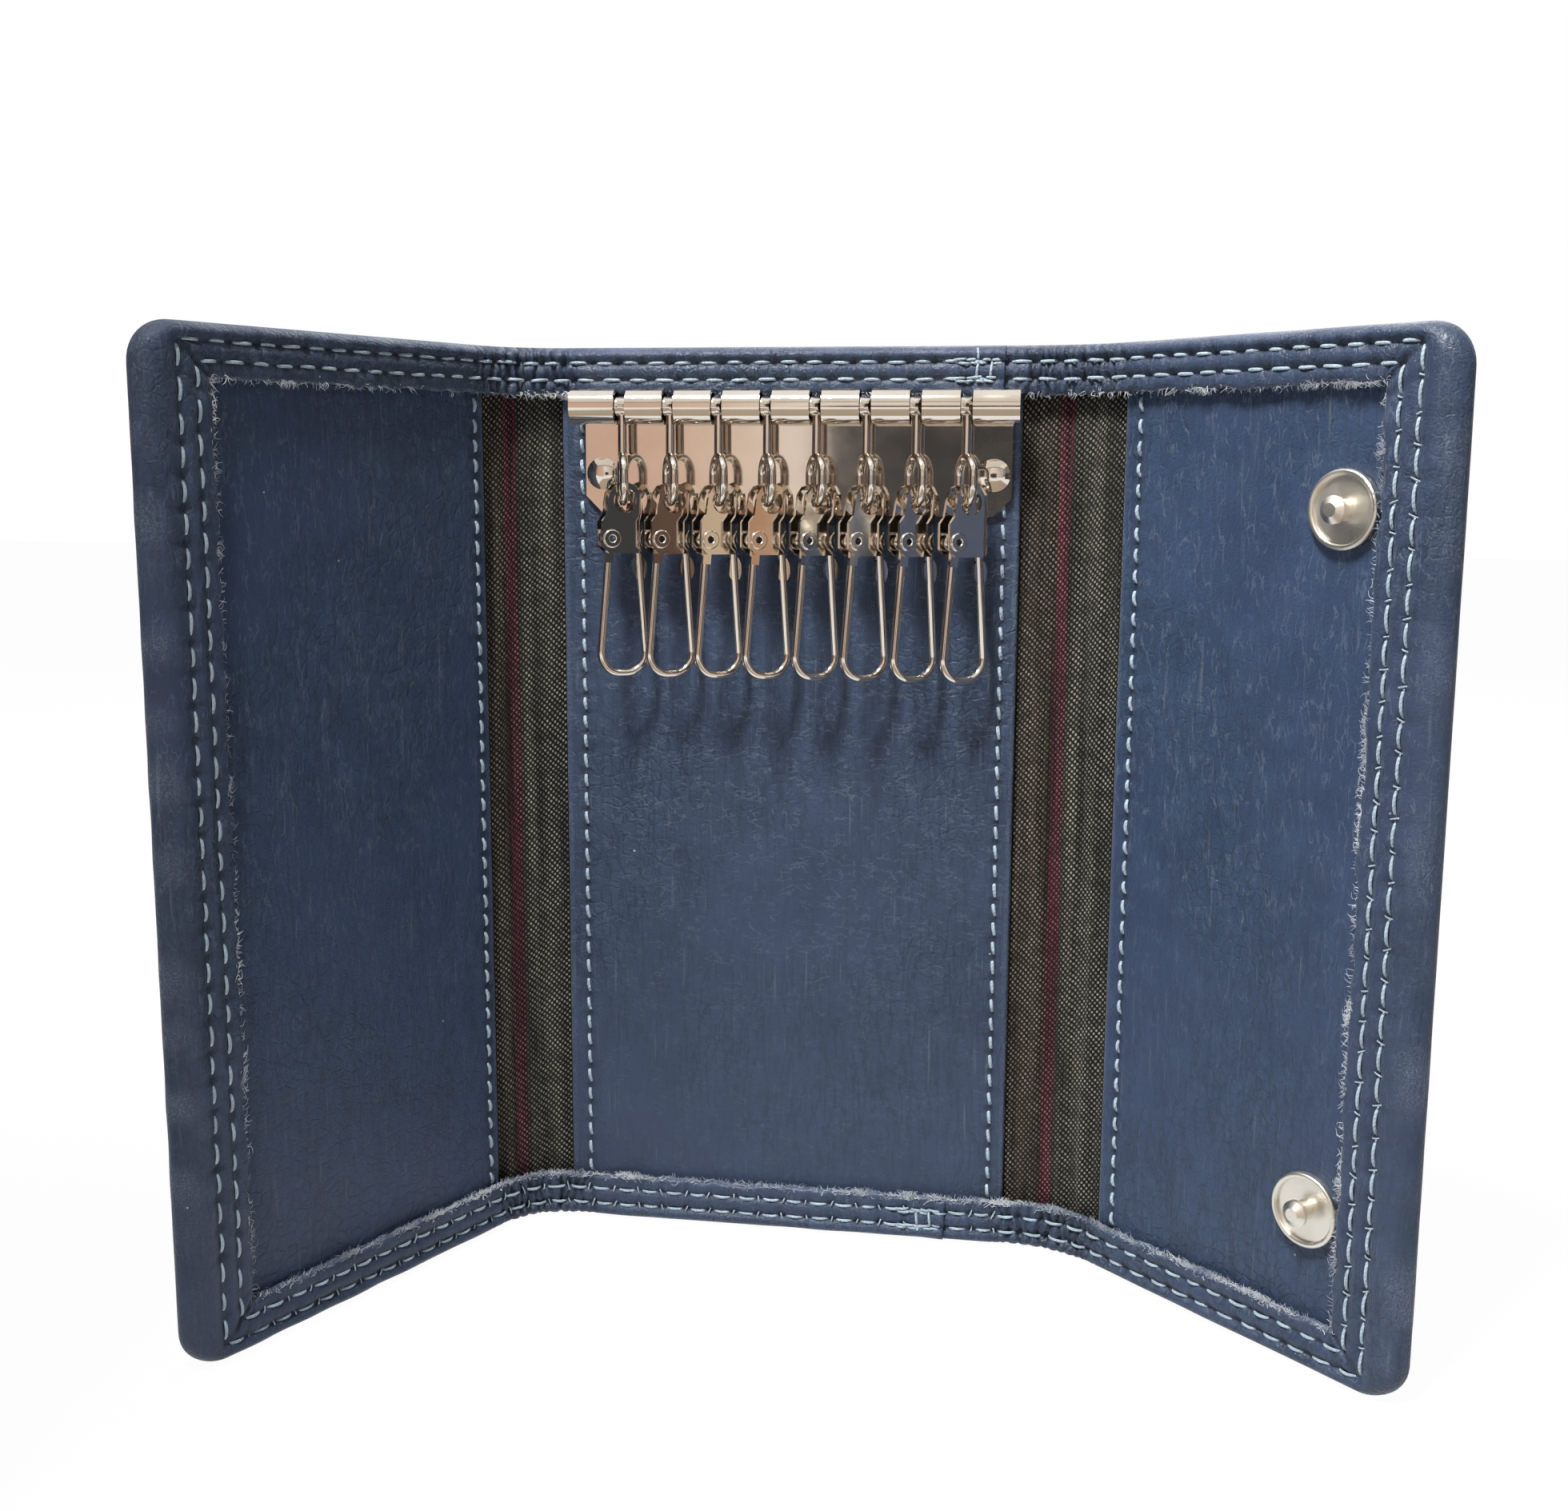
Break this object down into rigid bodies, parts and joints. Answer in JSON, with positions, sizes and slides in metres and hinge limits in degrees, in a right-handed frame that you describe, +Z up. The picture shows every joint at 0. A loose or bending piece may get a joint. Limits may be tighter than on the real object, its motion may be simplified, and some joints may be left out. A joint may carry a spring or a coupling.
{
  "type": "key case",
  "caption": "Open tri-fold leather key case with a slotted metal rail of spring-gated key hooks, two folding wings and press snaps that close it.",
  "frame": {"origin": "middle of the centre cover's lower edge, on the surface that the case stands on", "axes": "+Z up, +X to the viewer's right along the rail, -Y out of the centre panel towards the viewer"},
  "size_m": [0.1355, 0.0527, 0.115],
  "materials": {
    "cover_leather": "fine pebbled grain, soft sheen",
    "panel_leather": "fine pebbled grain, soft sheen",
    "lining": "woven twill with faint stripes",
    "nickel": "polished nickel plate",
    "snap_metal": "polished nickel plate",
    "spring_wire": "bright spring wire"
  },
  "bodies": {
    "case": {"centre_cover": "cover_leather", "centre_lining": "lining", "centre_panel": "panel_leather", "left_fold_cover": "cover_leather", "right_fold_cover": "cover_leather", "left_fold_lining": "lining", "right_fold_lining": "lining", "hook_rail": "nickel", "rail_rivets": "nickel"},
    "left_wing": {"left_cover": "cover_leather", "left_lining": "lining", "left_panel": "panel_leather", "snap_sockets": "snap_metal", "socket_eyelets": "snap_metal"},
    "right_wing": {"right_cover": "cover_leather", "right_lining": "lining", "right_panel": "panel_leather", "snap_studs": "snap_metal", "stud_eyelets": "snap_metal"},
    "link_1": {"hook_link_1": "nickel"},
    "clip_1": {"hook_clip_1": "nickel", "clip_rivet_1": "nickel", "clip_spring_1": "spring_wire"},
    "gate_1": {"hook_bow_1": "nickel"},
    "link_2": {"hook_link_2": "nickel"},
    "clip_2": {"hook_clip_2": "nickel", "clip_rivet_2": "nickel", "clip_spring_2": "spring_wire"},
    "gate_2": {"hook_bow_2": "nickel"},
    "link_3": {"hook_link_3": "nickel"},
    "clip_3": {"hook_clip_3": "nickel", "clip_rivet_3": "nickel", "clip_spring_3": "spring_wire"},
    "gate_3": {"hook_bow_3": "nickel"},
    "link_4": {"hook_link_4": "nickel"},
    "clip_4": {"hook_clip_4": "nickel", "clip_rivet_4": "nickel", "clip_spring_4": "spring_wire"},
    "gate_4": {"hook_bow_4": "nickel"},
    "link_5": {"hook_link_5": "nickel"},
    "clip_5": {"hook_clip_5": "nickel", "clip_rivet_5": "nickel", "clip_spring_5": "spring_wire"},
    "gate_5": {"hook_bow_5": "nickel"},
    "link_6": {"hook_link_6": "nickel"},
    "clip_6": {"hook_clip_6": "nickel", "clip_rivet_6": "nickel", "clip_spring_6": "spring_wire"},
    "gate_6": {"hook_bow_6": "nickel"},
    "link_7": {"hook_link_7": "nickel"},
    "clip_7": {"hook_clip_7": "nickel", "clip_rivet_7": "nickel", "clip_spring_7": "spring_wire"},
    "gate_7": {"hook_bow_7": "nickel"},
    "link_8": {"hook_link_8": "nickel"},
    "clip_8": {"hook_clip_8": "nickel", "clip_rivet_8": "nickel", "clip_spring_8": "spring_wire"},
    "gate_8": {"hook_bow_8": "nickel"}
  },
  "joints": [
    {"name": "left_fold", "type": "hinge", "parent": "case", "child": "left_wing", "pos_m": [-0.03335, -0.00485, 0.0575], "axis": [0, 0, -1], "range_deg": [-116, 64], "deforming": ["left_fold_cover", "left_fold_lining"]},
    {"name": "right_fold", "type": "hinge", "parent": "case", "child": "right_wing", "pos_m": [0.03275, -0.0077, 0.0575], "axis": [0, 0, 1], "range_deg": [-136.5, 43.5], "deforming": ["right_fold_cover", "right_fold_lining"]},
    {"name": "hook_swing_1", "type": "hinge", "parent": "case", "child": "link_1", "pos_m": [-0.02135, -0.00385, 0.1076], "axis": [-1, 0, 0], "range_deg": [0, 100]},
    {"name": "clip_swing_1", "type": "hinge", "parent": "link_1", "child": "clip_1", "pos_m": [-0.02135, -0.00418, 0.09595], "axis": [-0.515, 0.8568, -0.0239], "range_deg": [0, 25]},
    {"name": "gate_1", "type": "hinge", "parent": "clip_1", "child": "gate_1", "pos_m": [-0.02285, -0.0052, 0.09138], "axis": [-0.515, 0.8568, -0.0239], "range_deg": [0, 40], "stiffness_Nm_per_rad": 0.004, "springref_deg": -34.38},
    {"name": "hook_swing_2", "type": "hinge", "parent": "case", "child": "link_2", "pos_m": [-0.01525, -0.00385, 0.1076], "axis": [-1, 0, 0], "range_deg": [0, 100]},
    {"name": "clip_swing_2", "type": "hinge", "parent": "link_2", "child": "clip_2", "pos_m": [-0.01525, -0.00418, 0.09595], "axis": [-0.5948, 0.8035, -0.0224], "range_deg": [0, 25]},
    {"name": "gate_2", "type": "hinge", "parent": "clip_2", "child": "gate_2", "pos_m": [-0.01666, -0.00534, 0.09139], "axis": [-0.5948, 0.8035, -0.0224], "range_deg": [0, 40], "stiffness_Nm_per_rad": 0.004, "springref_deg": -34.38},
    {"name": "hook_swing_3", "type": "hinge", "parent": "case", "child": "link_3", "pos_m": [-0.00915, -0.00385, 0.1076], "axis": [-1, 0, 0], "range_deg": [0, 100]},
    {"name": "clip_swing_3", "type": "hinge", "parent": "link_3", "child": "clip_3", "pos_m": [-0.00915, -0.00418, 0.09595], "axis": [-0.6293, 0.7768, -0.0217], "range_deg": [0, 25]},
    {"name": "gate_3", "type": "hinge", "parent": "clip_3", "child": "gate_3", "pos_m": [-0.01051, -0.0054, 0.09139], "axis": [-0.6293, 0.7768, -0.0217], "range_deg": [0, 40], "stiffness_Nm_per_rad": 0.004, "springref_deg": -34.38},
    {"name": "hook_swing_4", "type": "hinge", "parent": "case", "child": "link_4", "pos_m": [-0.00305, -0.00385, 0.1076], "axis": [-1, 0, 0], "range_deg": [0, 100]},
    {"name": "clip_swing_4", "type": "hinge", "parent": "link_4", "child": "clip_4", "pos_m": [-0.00305, -0.00418, 0.09595], "axis": [-0.6018, 0.7983, -0.0223], "range_deg": [0, 25]},
    {"name": "gate_4", "type": "hinge", "parent": "clip_4", "child": "gate_4", "pos_m": [-0.00445, -0.00536, 0.09139], "axis": [-0.6018, 0.7983, -0.0223], "range_deg": [0, 40], "stiffness_Nm_per_rad": 0.004, "springref_deg": -34.38},
    {"name": "hook_swing_5", "type": "hinge", "parent": "case", "child": "link_5", "pos_m": [0.00305, -0.00385, 0.1076], "axis": [-1, 0, 0], "range_deg": [0, 100]},
    {"name": "clip_swing_5", "type": "hinge", "parent": "link_5", "child": "clip_5", "pos_m": [0.00305, -0.00418, 0.09595], "axis": [-0.6361, 0.7713, -0.0215], "range_deg": [0, 25]},
    {"name": "gate_5", "type": "hinge", "parent": "clip_5", "child": "gate_5", "pos_m": [0.0017, -0.00542, 0.09139], "axis": [-0.6361, 0.7713, -0.0215], "range_deg": [0, 40], "stiffness_Nm_per_rad": 0.004, "springref_deg": -34.38},
    {"name": "hook_swing_6", "type": "hinge", "parent": "case", "child": "link_6", "pos_m": [0.00915, -0.00385, 0.1076], "axis": [-1, 0, 0], "range_deg": [0, 100]},
    {"name": "clip_swing_6", "type": "hinge", "parent": "link_6", "child": "clip_6", "pos_m": [0.00915, -0.00418, 0.09595], "axis": [-0.5948, 0.8035, -0.0224], "range_deg": [0, 25]},
    {"name": "gate_6", "type": "hinge", "parent": "clip_6", "child": "gate_6", "pos_m": [0.00774, -0.00534, 0.09139], "axis": [-0.5948, 0.8035, -0.0224], "range_deg": [0, 40], "stiffness_Nm_per_rad": 0.004, "springref_deg": -34.38},
    {"name": "hook_swing_7", "type": "hinge", "parent": "case", "child": "link_7", "pos_m": [0.01525, -0.00385, 0.1076], "axis": [-1, 0, 0], "range_deg": [0, 100]},
    {"name": "clip_swing_7", "type": "hinge", "parent": "link_7", "child": "clip_7", "pos_m": [0.01525, -0.00418, 0.09595], "axis": [-0.6225, 0.7823, -0.0219], "range_deg": [0, 25]},
    {"name": "gate_7", "type": "hinge", "parent": "clip_7", "child": "gate_7", "pos_m": [0.01388, -0.00539, 0.09139], "axis": [-0.6225, 0.7823, -0.0219], "range_deg": [0, 40], "stiffness_Nm_per_rad": 0.004, "springref_deg": -34.38},
    {"name": "hook_swing_8", "type": "hinge", "parent": "case", "child": "link_8", "pos_m": [0.02135, -0.00385, 0.1076], "axis": [-1, 0, 0], "range_deg": [0, 100]},
    {"name": "clip_swing_8", "type": "hinge", "parent": "link_8", "child": "clip_8", "pos_m": [0.02135, -0.00418, 0.09595], "axis": [-0.6088, 0.793, -0.0222], "range_deg": [0, 25]},
    {"name": "gate_8", "type": "hinge", "parent": "clip_8", "child": "gate_8", "pos_m": [0.01996, -0.00537, 0.09139], "axis": [-0.6088, 0.793, -0.0222], "range_deg": [0, 40], "stiffness_Nm_per_rad": 0.004, "springref_deg": -34.38}
  ]
}
